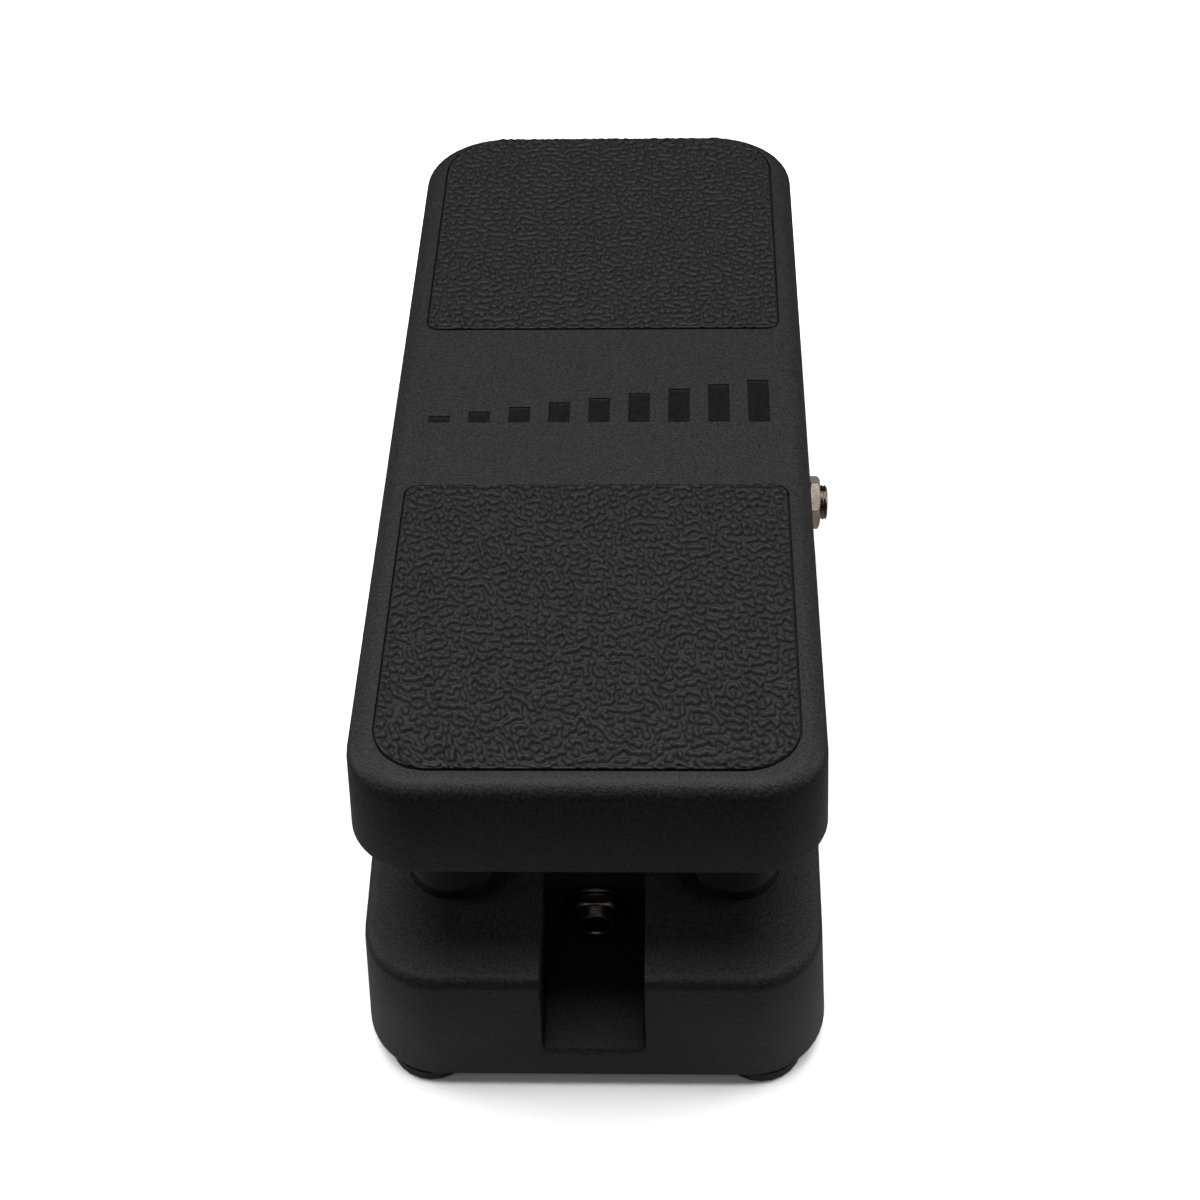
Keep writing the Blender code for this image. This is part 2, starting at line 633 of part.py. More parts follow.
# ---------------------------------------------------------------- jacks
def make_jack(name, place, turn, wall):
    """A quarter-inch jack. Local +Z points out of the wall, and local z = 0 is the wall's outer face."""
    washer = (TOUCH_GAP, 0.0011)
    nut = (washer[1] + TOUCH_GAP, 0.0041)
    thread_end = nut[1] + 0.0020
    thread_start = -wall - TOUCH_GAP
    body_front = thread_start - TOUCH_GAP
    frame = bpy.data.objects.new(name + "_place", None)
    PEDAL.objects.link(frame)
    frame.location = place
    frame.rotation_euler = turn
    bushing = [(JACK_THREAD_RADIUS - 0.0004, thread_end), (JACK_THREAD_RADIUS, thread_end - 0.0004),
               (JACK_THREAD_RADIUS, thread_start), (JACK_SOCKET_RADIUS, thread_start),
               (JACK_SOCKET_RADIUS, thread_end - 0.0005), (JACK_SOCKET_RADIUS + 0.0005, thread_end)]
    turned(name + "_bushing", bushing, "nickel", parent=frame)
    washer_ring = [(0.0075, washer[1]), (0.0075, washer[0]), (0.0050, washer[0]), (0.0050, washer[1])]
    turned(name + "_washer", washer_ring, "nickel", parent=frame)
    nut_outlines = [circle(0.0073, 6), circle(JACK_HOLE_RADIUS, ROUND_STEPS)]
    flat_solid(name + "_nut", nut_outlines, nut[1] - nut[0], "nickel", place=(0, 0, (nut[0] + nut[1]) / 2),
               parent=frame)
    middle = body_front - JACK_BODY_DEPTH / 2
    body = box(name + "_housing", (0.019, 0.0165, JACK_BODY_DEPTH), "black_plastic", rounding=0.0008,
               place=(0, 0, middle), parent=frame)
    cut(body, cylinder(name + "_socket", JACK_SOCKET_RADIUS, JACK_BODY_DEPTH, place=(0, 0, middle + 0.0015),
                       parent=frame, cutter=True, steps=ROUND_STEPS))


def make_jacks():
    """The heel jack in its slot, and the second jack on its flat seat in the right-hand wall."""
    make_jack("heel_jack", (0, SLOT_BACK_Y, HEEL_JACK_Z), ALONG_Y, BASE_WALL)
    seat_x = side_wall_x(SIDE_JACK_Z) + SIDE_SEAT_PROUD
    make_jack("side_jack", (seat_x, SIDE_JACK_Y, SIDE_JACK_Z), ALONG_X, BASE_WALL + 2 * SIDE_SEAT_PROUD)


# ---------------------------------------------------------------- potentiometer and gear train
def make_potentiometer():
    """The potentiometer's housing, washer and nut on a steel bracket."""
    front = BRACKET_X - TOUCH_GAP
    turn = ALONG_X
    profile = [(0.0, 0.0), (POT_RADIUS - 0.0006, 0.0), (POT_RADIUS, -0.0006), (POT_RADIUS, -POT_DEPTH),
               (0.0, -POT_DEPTH)]
    place = (front, PINION_Y, PINION_Z)
    housing = turned("pot_housing", profile, "zinc_steel", steps=ROUND_STEPS, place=place, turn=turn)
    collar = cylinder("pot_collar", 0.0045, 0.0080, place=(front + 0.0038, PINION_Y, PINION_Z), turn=turn,
                      cutter=True, steps=24)
    join(housing, collar)
    cut(housing, cylinder("pot_bore", POT_SHAFT_RADIUS + TOUCH_GAP, 0.040, place=place, turn=turn, cutter=True,
                          steps=24))
    lug = box("pot_lugs", (0.0012, 0.0140, 0.0040), place=(front - 0.0040, PINION_Y, PINION_Z - 0.0125),
              cutter=True)
    join(housing, lug)
    face = BRACKET_X + BRACKET_THICK
    ring = [(0.0070, 0.0010), (0.0070, 0.0003), (0.0048, 0.0003), (0.0048, 0.0010)]
    turned("pot_washer", ring, "zinc_steel", steps=24, place=(face, PINION_Y, PINION_Z), turn=turn)
    flat_solid("pot_nut", [circle(0.0066, 6), circle(0.0048, 24)], 0.0020, "zinc_steel",
               place=(face + 0.0024, PINION_Y, PINION_Z), turn=SIDE_VIEW)


def make_bracket():
    """The bent steel bracket that hangs the potentiometer under the base's roof, and its screws."""
    flange_top = SMALL_BOSS_Z - TOUCH_GAP
    low = PINION_Z - 0.0095
    size = (BRACKET_THICK, 0.0300, flange_top - low)
    place = (BRACKET_X + BRACKET_THICK / 2, PINION_Y, (flange_top + low) / 2)
    bracket = box("pot_bracket", size, "zinc_steel", place=place)
    flange_size = (0.0170, 0.0300, BRACKET_THICK)
    flange_place = (BRACKET_X - 0.0170 / 2 + 0.0005, PINION_Y, flange_top - BRACKET_THICK / 2)
    join(bracket, box("bracket_flange", flange_size, place=flange_place, cutter=True))
    cut(bracket, cylinder("bracket_hole", 0.0048, 0.010, place=(BRACKET_X, PINION_Y, PINION_Z), turn=ALONG_X,
                          cutter=True, steps=24))
    for name, x, y in small_boss_places()[:2]:
        cut(bracket, cylinder("flange_hole_" + name, SMALL_SCREW_HOLE, 0.006, place=(x, y, flange_top),
                              cutter=True, steps=12))
        under = flange_top - BRACKET_THICK - TOUCH_GAP
        make_small_screw(name.replace("bracket", "bracket_screw"), (x, y, under), 0.0045, None)


def make_small_screw(name, under_head, length, parent):
    """A pan-head screw that points up, with the underside of its head at the given place."""
    profile = [(0.0, length), (0.0011, length), (0.0011, 0.0), (0.0026, 0.0), (0.0026, -0.0008),
               (0.0018, -0.0015), (0.0, -0.0015)]
    screw = turned(name, profile, "zinc_steel", steps=16, place=under_head, parent=parent)
    cut_cross(screw, 0.0028, Vector(under_head) - Vector((0, 0, 0.0015)), parent=parent)


def cut_cross(screw, across, place, parent=None):
    """Cuts a cross recess into the lower face of a screw's head."""
    for name, size in (("long", (across, 0.0006, 0.0018)), ("wide", (0.0006, across, 0.0018))):
        cut(screw, box(f"{screw.name}_{name}", size, place=place, parent=parent, cutter=True))


def make_gear_guide():
    """The nylon shoe that holds the sector against the pinion, and its screw."""
    top = SMALL_BOSS_Z - TOUCH_GAP
    size = (0.0080, 0.0190, 0.0100)
    guide = box("gear_guide", size, "white_nylon", place=(SECTOR_X, 0.0330, top - size[2] / 2))
    combine(guide, cylinder("guide_sweep", SECTOR_INNER_RADIUS - TOUCH_GAP, 0.020, place=(SECTOR_X, 0, PIVOT_Z),
                            turn=ALONG_X, cutter=True, steps=96), "INTERSECT")
    name, x, y = small_boss_places()[2]
    cut(guide, cylinder("guide_bore", SMALL_SCREW_HOLE, 0.030, place=(x, y, top), cutter=True, steps=12))
    make_small_screw("guide_screw", (x, y, top - size[2] - TOUCH_GAP), 0.0150, None)


def make_pinion():
    """The potentiometer's shaft and the pinion on it. The pinion meets the sector tooth to gap."""
    start = BRACKET_X - TOUCH_GAP - POT_DEPTH + 0.0010
    end = SECTOR_X + PINION_THICK / 2 + 0.0030
    cylinder("pot_shaft", POT_SHAFT_RADIUS, end - start, "zinc_steel", steps=24,
             place=((start + end) / 2, PINION_Y, PINION_Z), turn=ALONG_X)
    bore = circle(POT_SHAFT_RADIUS + TOUCH_GAP, 24)
    flat_solid("pinion_gear", [pinion_outline(MESH_ANGLE + math.pi), bore], PINION_THICK, "white_nylon",
               place=(SECTOR_X, PINION_Y, PINION_Z), turn=SIDE_VIEW)


# ---------------------------------------------------------------- treadle
def treadle_rings(inset, bottom_z, top, fillet, edge=0.0):
    """Rings of the treadle's block, or of its hollow, in the treadle's level frame."""
    spread = TREADLE_DRAFT - inset
    return shell_rings(TREADLE_WIDTH / 2 + spread, TREADLE_LENGTH / 2 + spread, TREADLE_HEEL_CORNER + spread,
                       TREADLE_DRAFT, fillet, bottom_z, lambda y: top, TREADLE_OFFSET_Y,
                       TREADLE_TOE_CORNER + spread, edge)


def make_treadle_casting(frame):
    """The hollow treadle with pad recesses, pivot lugs, stop posts, ribs and gear bosses."""
    bottom = TREADLE_TOP - TREADLE_SKIRT
    roof = TREADLE_TOP - TREADLE_ROOF
    outside = treadle_rings(0.0, bottom, TREADLE_TOP, TREADLE_FILLET, EDGE_ROUND)
    treadle = loft("treadle_casting", outside, "black_powder_coat", parent=frame)
    hollow = treadle_rings(TREADLE_WALL, bottom - 0.005, roof, 0.002)
    cut(treadle, loft("treadle_hollow", hollow, parent=frame, cutter=True))
    for name, sign in (("heel", -1), ("toe", 1)):
        recess = pad_outline(sign, PAD_GAP)
        depth = 0.006
        place = (0, PADS_CENTRE_Y, TREADLE_TOP - PAD_RECESS + depth / 2)
        cut(treadle, flat_solid(name + "_recess", [recess], depth, place=place, parent=frame, cutter=True))
    cut_mark(treadle, frame)
    add_lugs(treadle, frame, roof)
    add_stop_posts(treadle, frame, roof)
    add_treadle_ribs(treadle, frame, roof)
    return treadle


def cut_mark(treadle, frame):
    """A plain row of bars that grow from left to right, sunk into the top between the pads."""
    for index in range(MARK_BARS):
        share = index / (MARK_BARS - 1)
        x = MARK_HALF_WIDTH * (2 * share - 1)
        height = MARK_LOW + (MARK_HIGH - MARK_LOW) * share
        size = (MARK_BAR_WIDTH, height, 2 * MARK_DEPTH)
        place = (x, PADS_CENTRE_Y + MARK_BASE_Y + height / 2, TREADLE_TOP)
        cut(treadle, box(f"mark_bar_{index}", size, place=place, parent=frame, cutter=True))


def pad_outline(sign, margin):
    """A pad's outline about the middle between the pads, with its large corners at its outer end."""
    big = (PAD_TOE_CORNER if sign > 0 else PAD_HEEL_CORNER) + margin
    small = PAD_SMALL_CORNER + margin
    near, far = (small, big) if sign > 0 else (big, small)
    centre = sign * (PAD_END_Y - PAD_LENGTH / 2)
    return rounded_outline(PAD_WIDTH / 2 + margin, PAD_LENGTH / 2 + margin, near, centre, far)


def add_lugs(treadle, frame, roof):
    """Two lugs that hang from the treadle's roof, just outside the base's ears, bored for the bushings."""
    for side, sign in (("left", -1), ("right", 1)):
        outline = [(y, -z) for y, z in ear_outline(LUG_FOOT_HALF, -roof - TREADLE_ROOF / 2)]
        outlines = [outline, circle(BUSHING_RADIUS + TOUCH_GAP, SMALL_STEPS)]
        lug = flat_solid("lug_" + side, outlines, LUG_THICK, place=(sign * LUG_CENTRE_X, 0, 0), turn=SIDE_VIEW,
                         parent=frame, cutter=True)
        join(treadle, lug)


def stop_post_end(y):
    """Level-frame height at which a stop post ends, a touch gap above its bumper when rocked onto it."""
    uneven = STOP_POST_RADIUS * (math.sin(TOE_DOWN) - BASE_SLOPE)
    bumper_top = base_top_z(y) + BUMPER_PROUD - PIVOT_Z + TOUCH_GAP + uneven
    return (bumper_top + abs(y) * math.sin(TOE_DOWN)) / math.cos(TOE_DOWN)


def add_stop_posts(treadle, frame, roof):
    """Four posts that land on the rubber bumpers."""
    for name, x, y in corner_places(BUMPER_X, BUMPER_Y):
        low = stop_post_end(y)
        high = roof + TREADLE_ROOF / 2
        join(treadle, cylinder("stop_post_" + name, STOP_POST_RADIUS, high - low, place=(x, y, (high + low) / 2),
                               parent=frame, cutter=True, top_radius=STOP_POST_ROOT_RADIUS))


def add_treadle_ribs(treadle, frame, roof):
    """Lengthwise ribs under the roof, and two bosses for the sector's screws."""
    for sign in (-1, 1):
        for end in (-1, 1):
            size = (0.0025, 0.092, RIB_DEPTH + TREADLE_ROOF / 2)
            place = (sign * RIB_X, end * 0.070 + PADS_CENTRE_Y, roof + TREADLE_ROOF / 4 - RIB_DEPTH / 2)
            join(treadle, box(f"rib_{sign}_{end}", size, place=place, parent=frame, cutter=True))
    for name, y in SECTOR_SCREWS:
        high = roof + TREADLE_ROOF / 2
        low = FLANGE_TOP + TOUCH_GAP
        join(treadle, cylinder("sector_boss_" + name, 0.0040, high - low,
                               place=(SECTOR_FLANGE_X, y, (high + low) / 2), parent=frame, cutter=True))
        cut(treadle, cylinder("sector_boss_hole_" + name, SMALL_BOSS_HOLE, 0.0050,
                              place=(SECTOR_FLANGE_X, y, low + 0.0015), parent=frame, cutter=True, steps=12))


def make_pads(frame):
    """The two rubber pads, let into the treadle's top."""
    thick = PAD_PROUD + PAD_RECESS - TOUCH_GAP
    for name, sign in (("heel_pad", -1), ("toe_pad", 1)):
        place = (0, PADS_CENTRE_Y, TREADLE_TOP + PAD_PROUD - thick / 2)
        flat_solid(name, [pad_outline(sign, 0.0)], thick, "black_rubber", place=place, parent=frame)


def make_bushings(frame):
    """The flanged bronze bushings in the treadle's lugs, which run on the shaft."""
    inner = SHAFT_RADIUS + BUSHING_PLAY
    outer = BUSHING_RADIUS
    rim = outer + BUSHING_FLANGE
    half = LUG_THICK / 2
    profile = [(outer, half + TOUCH_GAP), (outer, -half - TOUCH_GAP), (rim, -half - TOUCH_GAP),
               (rim, -half - 0.0009), (inner, -half - 0.0009), (inner, half + TOUCH_GAP)]
    for side, sign in (("left", -1), ("right", 1)):
        turn = (0.0, sign * math.pi / 2, 0.0)
        turned("bushing_" + side, profile, "bronze", steps=SMALL_STEPS, place=(sign * LUG_CENTRE_X, 0, 0),
               turn=turn, parent=frame)


def make_sector(frame):
    """The toothed sector with its mounting flange, and the screws that hold it to the treadle."""
    sector = flat_solid("sector_gear", [sector_outline()], SECTOR_THICK, "white_nylon", place=(SECTOR_X, 0, 0),
                        turn=SIDE_VIEW, parent=frame)
    flange_thick = 0.0030
    flange_size = (0.0200, 0.0260, flange_thick)
    flange_place = (SECTOR_X + 0.0070, 0.0520, FLANGE_TOP - flange_thick / 2)
    join(sector, box("sector_flange", flange_size, place=flange_place, parent=frame, cutter=True))
    for name, y in SECTOR_SCREWS:
        cut(sector, cylinder("flange_bore_" + name, SMALL_SCREW_HOLE, 0.010,
                             place=(SECTOR_FLANGE_X, y, FLANGE_TOP), parent=frame, cutter=True, steps=12))
        under = FLANGE_TOP - flange_thick - TOUCH_GAP
        make_small_screw("sector_screw_" + name, (SECTOR_FLANGE_X, y, under), 0.0060, frame)


# ---------------------------------------------------------------- inside wiring
def make_cables():
    """Two screened cables from the potentiometer's lugs to the jacks, lying inside the base."""
    heel_end = SLOT_BACK_Y + BASE_WALL + JACK_BODY_DEPTH + 0.0015
    heel_route = [(0.0, heel_end, HEEL_JACK_Z), (-0.002, heel_end + 0.010, 0.0150), (-0.010, -0.035, 0.0060),
                  (-0.018, -0.005, 0.0050), (-0.026, 0.020, 0.0050), (-0.0305, 0.034, 0.0040),
                  (-0.0325, 0.0425, 0.0036)]
    tube("heel_jack_cable", heel_route, 0.0014, "black_rubber")
    side_end = BASE_HALF_WIDTH - BASE_WALL - JACK_BODY_DEPTH - 0.0050
    side_route = [(side_end, SIDE_JACK_Y, SIDE_JACK_Z - 0.001), (side_end - 0.008, 0.0270, 0.0150),
                  (0.002, 0.0190, 0.0070), (-0.015, 0.0160, 0.0095), (-0.030, 0.0250, 0.0130),
                  (-0.0385, 0.0350, 0.0120), (-0.0400, 0.0440, 0.0080)]
    tube("side_jack_cable", side_route, 0.0014, "black_rubber")


# ---------------------------------------------------------------- assembly
clear_scene()
PEDAL = make_collection("expression_pedal")
CUTTERS = make_collection("cutters")
MATERIALS = {name: make_material(name, *finish) for name, finish in FINISHES.items()}

make_base_casting()
make_bottom_plate()
make_feet()
make_bumpers()
make_pivot_shaft()
make_jacks()
make_potentiometer()
make_bracket()
make_gear_guide()
make_pinion()
make_cables()

TREADLE_FRAME = bpy.data.objects.new("treadle_frame", None)
PEDAL.objects.link(TREADLE_FRAME)
TREADLE_FRAME.location = (0, 0, PIVOT_Z)
TREADLE_FRAME.rotation_euler = (-TOE_DOWN, 0, 0)
make_treadle_casting(TREADLE_FRAME)
make_pads(TREADLE_FRAME)
make_bushings(TREADLE_FRAME)
make_sector(TREADLE_FRAME)
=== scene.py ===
import json
import math

import bmesh
import bpy
import numpy as np
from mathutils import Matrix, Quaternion, Vector


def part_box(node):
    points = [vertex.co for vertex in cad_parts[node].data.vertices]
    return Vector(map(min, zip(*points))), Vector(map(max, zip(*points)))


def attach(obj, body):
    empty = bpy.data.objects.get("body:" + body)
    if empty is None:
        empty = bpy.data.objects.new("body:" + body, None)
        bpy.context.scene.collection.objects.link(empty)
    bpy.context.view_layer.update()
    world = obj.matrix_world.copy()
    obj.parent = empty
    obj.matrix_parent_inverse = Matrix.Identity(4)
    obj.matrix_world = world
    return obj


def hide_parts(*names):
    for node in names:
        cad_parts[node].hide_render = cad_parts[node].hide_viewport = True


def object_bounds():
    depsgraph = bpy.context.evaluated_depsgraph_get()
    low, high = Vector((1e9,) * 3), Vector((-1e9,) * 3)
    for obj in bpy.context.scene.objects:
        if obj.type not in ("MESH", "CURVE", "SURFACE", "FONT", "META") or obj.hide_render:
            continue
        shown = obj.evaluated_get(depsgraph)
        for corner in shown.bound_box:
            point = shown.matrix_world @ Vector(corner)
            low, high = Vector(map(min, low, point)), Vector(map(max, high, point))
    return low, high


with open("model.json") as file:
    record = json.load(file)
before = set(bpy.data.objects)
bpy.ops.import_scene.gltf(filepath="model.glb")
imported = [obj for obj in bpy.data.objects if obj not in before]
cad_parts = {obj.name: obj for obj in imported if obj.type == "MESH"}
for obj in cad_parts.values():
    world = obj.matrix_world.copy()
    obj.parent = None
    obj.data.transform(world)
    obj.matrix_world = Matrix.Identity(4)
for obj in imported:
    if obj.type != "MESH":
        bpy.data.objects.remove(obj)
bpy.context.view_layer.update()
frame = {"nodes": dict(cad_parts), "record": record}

# ---------------------------------------------------------------- camera and light
# Fitted so that the pedal's edges fall where the photographed view has them.
CAMERA_PLACE = Vector((0.018345, -0.393137, 0.470818))
CAMERA_FORWARD = Vector((-0.03263, 0.65226, -0.75729))
CAMERA_ROLL = math.radians(-2.197)
CAMERA_LENS = 69.175
CAMERA_SENSOR = 36.0

LIGHT_AIM = Vector((0.0, 0.0, 0.05))
# Each softbox's name, place, size in metres and power in watts.
SOFTBOXES = (
    ("overhead_softbox", (0.00, 0.20, 1.05), (1.20, 1.00), 9.9),
    ("front_softbox", (0.00, -0.80, 1.00), (1.20, 0.60), 0.55),
    ("left_softbox", (-1.00, 0.12, 0.42), (0.70, 0.60), 3.4),
    ("right_softbox", (1.00, 0.12, 0.42), (0.70, 0.60), 3.1),
)
WORLD_FILL = 0.02
FLOOR_HALF = 1.3
# How much light the floor gives back beside the pedal, and how much beyond FLOOR_NEAR_REACH from it.
FLOOR_BOUNCE_NEAR = 0.70
FLOOR_BOUNCE_FAR = 0.08
FLOOR_NEAR_REACH = 0.09
# What the camera sees of the floor and the backdrop, both brighter than white so that they stay plain.
FLOOR_AS_SEEN = 2.4
BACKGROUND_AS_SEEN = 1.2

# ---------------------------------------------------------------- the part's own sizes, in metres
PIVOT_Z = 0.058
TOE_DOWN = math.radians(6.73)
PADS_CENTRE_Y = 0.004
TREADLE_TOP = 0.022
PAD_HALF_WIDTH = 0.0441
PAD_HALF_LENGTH = 0.045
PAD_OFFSET_Y = 0.076
PAD_HEEL_CORNER = 0.012
PAD_TOE_CORNER = 0.0165
PAD_SMALL_CORNER = 0.003
PAD_PROUD = 0.0008
PAD_SUNK = 0.0013
PAD_EDGE_WIDTH = 0.0009
PAD_EDGE_DROP = 0.00045
PAD_EDGE_RELIEF = 0.35
PAD_GRID = 0.00031
PAD_CORNER_ROWS = 12
PAD_CORNER_CROWDING = 1.5
PAD_SMOOTH_ANGLE = math.radians(70.0)

HEEL_PAD_SEED = 11
TOE_PAD_SEED = 23
PEBBLE_SPACING = (0.0017, 0.0031)
PEBBLE_WAVES = 64
PEBBLE_HEIGHT = 0.00060
PEBBLE_EDGE = 0.30
PEBBLE_LEVEL = 0.35
PEBBLE_TOP = 0.86
PEBBLE_SWELL = 0.07
SWELL_STRETCH = 4
PEBBLE_CROWN = 0.04
# Painted shade: a vertex attribute darkens the pads' colour where the rubber lies below the ground just
# towards the toe, at the heel-side foot of each pebble.
PAINTED_SHADE_ATTRIBUTE = "crevice_shade"
CREVICE_DEPTH = 0.00009
# The grid places that a crevice is measured against, from its own row to two rows towards the toe.
CREVICE_BLOCK = [(j, i) for j in (0, 1, 2) for i in (-1, 0, 1)]
CREVICE_REACH = 2

MARK_BARS = 9
MARK_HALF_WIDTH = 0.0385
MARK_BAR_WIDTH = 0.0052
MARK_LOW = 0.0025
MARK_HIGH = 0.0165
MARK_BASE_Y = -0.0070
MARK_DEPTH = 0.0005
MARK_GAP = 0.0001
# Each step of a bar's enamel, from its floor's edge to its middle: how far in, and how high.
MARK_PROFILE = ((0.0, 0.0), (0.0, 0.00014), (0.0003, 0.00010), (0.0008, 0.00007))

# Heights on a jack are measured out of the wall that its washer lies on.
JACK_STEPS = 72
JACK_THREAD_RADIUS = 0.0047
JACK_SOCKET_RADIUS = 0.00325
JACK_HOLE_RADIUS = 0.0050
THREAD_PITCH = 0.00079
THREAD_DEPTH = 0.00042
THREAD_END = 0.0061
THREAD_RUN_OUT = 0.0004
THREAD_RINGS_PER_TURN = 10
THREAD_CREST_SLOPE = 1.25
THREAD_SMOOTH_ANGLE = math.radians(80.0)
BUSHING_FACE_INSET = 0.0006
# The socket's mouth, from its face inwards: how much wider than the socket, and how deep.
SOCKET_MOUTH = ((0.0005, 0.0), (0.0001, 0.0003), (0.0, 0.0007))
NUT_RADIUS = 0.0073
NUT_APOTHEM = NUT_RADIUS * math.cos(math.pi / 6)
NUT_RANGE = (0.0014, 0.0041)
NUT_FACE_RADIUS = NUT_APOTHEM * 0.985
NUT_CONE_SLOPE = 0.58
NUT_BACK_CONE = 0.6
NUT_HOLE_BREAK = 0.0003
WASHER_RANGE = (0.0003, 0.0011)
WASHER_RADIUS = 0.0075
WASHER_BREAK = 0.0001
WASHER_ROUND = 0.0003

SMOOTH_ANGLE = math.radians(34.0)
WELD_DISTANCE = 1e-6

# ---------------------------------------------------------------- textures
# Noise lies mostly inside WIDE. NARROW is its middle, for hard-edged grain, and DUSTY most of it.
WIDE = (0.30, 0.70)
NARROW = (0.38, 0.62)
DUSTY = (0.35, 0.70)
FULL = (0.0, 1.0)

MIX_COLOR_INPUTS = (6, 7)
MIX_COLOR_OUTPUT = 2

COAT_COLOR = (0.016, 0.0162, 0.0172)
COAT_GRAIN = ((0.0060, 0.0062, 0.0070), (0.0290, 0.0292, 0.0304))
PAD_COLOR = (0.0160, 0.0162, 0.0172)
PAD_SPECKLE = ((0.0070, 0.0072, 0.0078), (0.0320, 0.0323, 0.0336))
# The pads' colour for the painted shade in their crevices.
PAD_CREVICE_SHADE_COLOR = (0.0012, 0.0012, 0.0013)
PAD_ROUGHNESS = 0.52
PAD_CREVICE_ROUGHNESS = 0.90
ENAMEL_COLOR = (0.004, 0.004, 0.0045)
ENAMEL_RIPPLE = ((0.003, 0.003, 0.0033), (0.0055, 0.0055, 0.006))


# ---------------------------------------------------------------- material helpers
def new_material(name, color, roughness, metallic=0.0, specular=0.5):
    """A Principled material. Returns the material, its node tree and its shader."""
    material = bpy.data.materials.new(name)
    material.use_nodes = True
    tree = material.node_tree
    shader = tree.nodes["Principled BSDF"]
    shader.inputs["Base Color"].default_value = (*color, 1.0)
    shader.inputs["Roughness"].default_value = roughness
    shader.inputs["Metallic"].default_value = metallic
    shader.inputs["Specular IOR Level"].default_value = specular
    material.diffuse_color = (*color, 1.0)
    return material, tree, shader


def coordinates(tree, stretch=(1.0, 1.0, 1.0)):
    """Object coordinates in metres, stretched per axis."""
    source = tree.nodes.new("ShaderNodeTexCoord")
    mapping = tree.nodes.new("ShaderNodeMapping")
    mapping.inputs["Scale"].default_value = stretch
    tree.links.new(source.outputs["Object"], mapping.inputs["Vector"])
    return mapping.outputs["Vector"]


def noise(tree, vector, scale, detail=3.0, rough=0.55):
    """A noise texture's value. scale is in features per metre."""
    node = tree.nodes.new("ShaderNodeTexNoise")
    node.inputs["Scale"].default_value = scale
    node.inputs["Detail"].default_value = detail
    node.inputs["Roughness"].default_value = rough
    tree.links.new(vector, node.inputs["Vector"])
    return node.outputs["Fac"]


def remap(tree, value, span, to_span=FULL):
    """A value's span, mapped to another and clamped."""
    node = tree.nodes.new("ShaderNodeMapRange")
    node.inputs["From Min"].default_value = span[0]
    node.inputs["From Max"].default_value = span[1]
    node.inputs["To Min"].default_value = to_span[0]
    node.inputs["To Max"].default_value = to_span[1]
    tree.links.new(value, node.inputs["Value"])
    return node.outputs["Result"]


def mixed_color(tree, factor, first, second):
    """A colour between two, by a factor."""
    node = tree.nodes.new("ShaderNodeMix")
    node.data_type = "RGBA"
    tree.links.new(factor, node.inputs["Factor"])
    for place, color in zip(MIX_COLOR_INPUTS, (first, second)):
        if isinstance(color, tuple):
            node.inputs[place].default_value = (*color, 1.0)
        else:
            tree.links.new(color, node.inputs[place])
    return node.outputs[MIX_COLOR_OUTPUT]


def set_color(tree, shader, color):
    """Drives a shader's colour by a socket."""
    tree.links.new(color, shader.inputs["Base Color"])


def set_roughness(tree, shader, value, span, to_span):
    """Drives a shader's roughness by a value whose span is mapped to another."""
    tree.links.new(remap(tree, value, span, to_span), shader.inputs["Roughness"])


def bumped(tree, shader, layers):
    """Stacks bump layers of (height, distance in metres, strength) under a shader's normal."""
    normal = None
    for height, distance, strength in layers:
        node = tree.nodes.new("ShaderNodeBump")
        node.inputs["Distance"].default_value = distance
        node.inputs["Strength"].default_value = strength
        tree.links.new(height, node.inputs["Height"])
        if normal is not None:
            tree.links.new(normal, node.inputs["Normal"])
        normal = node.outputs["Normal"]
    tree.links.new(normal, shader.inputs["Normal"])


# ---------------------------------------------------------------- materials
def powder_coat():
    """Matte black powder coat: fine grain over a soft orange peel, slightly uneven in gloss."""
    material, tree, shader = new_material("powder_coat_black", COAT_COLOR, 0.55, specular=0.42)
    vector = coordinates(tree)
    grain = noise(tree, vector, 1900.0, 2.0)
    peel = noise(tree, vector, 750.0, 2.0)
    cloud = noise(tree, vector, 60.0, 3.0)
    set_color(tree, shader, mixed_color(tree, remap(tree, grain, NARROW), *COAT_GRAIN))
    set_roughness(tree, shader, cloud, WIDE, (0.53, 0.57))
    bumped(tree, shader, [(peel, 0.00010, 0.6), (grain, 0.00016, 1.0)])
    return material


def rubber(name, dark, light, roughness):
    """Moulded black rubber with a fine matte skin and faint dusty patches."""
    material, tree, shader = new_material(name, dark, roughness, specular=0.38)
    vector = coordinates(tree)
    skin = noise(tree, vector, 3800.0, 3.0)
    dust = noise(tree, vector, 140.0, 5.0, 0.65)
    set_color(tree, shader, mixed_color(tree, remap(tree, dust, DUSTY), dark, light))
    set_roughness(tree, shader, skin, WIDE, (roughness - 0.06, roughness + 0.08))
    bumped(tree, shader, [(skin, 0.00008, 0.7)])
    return material


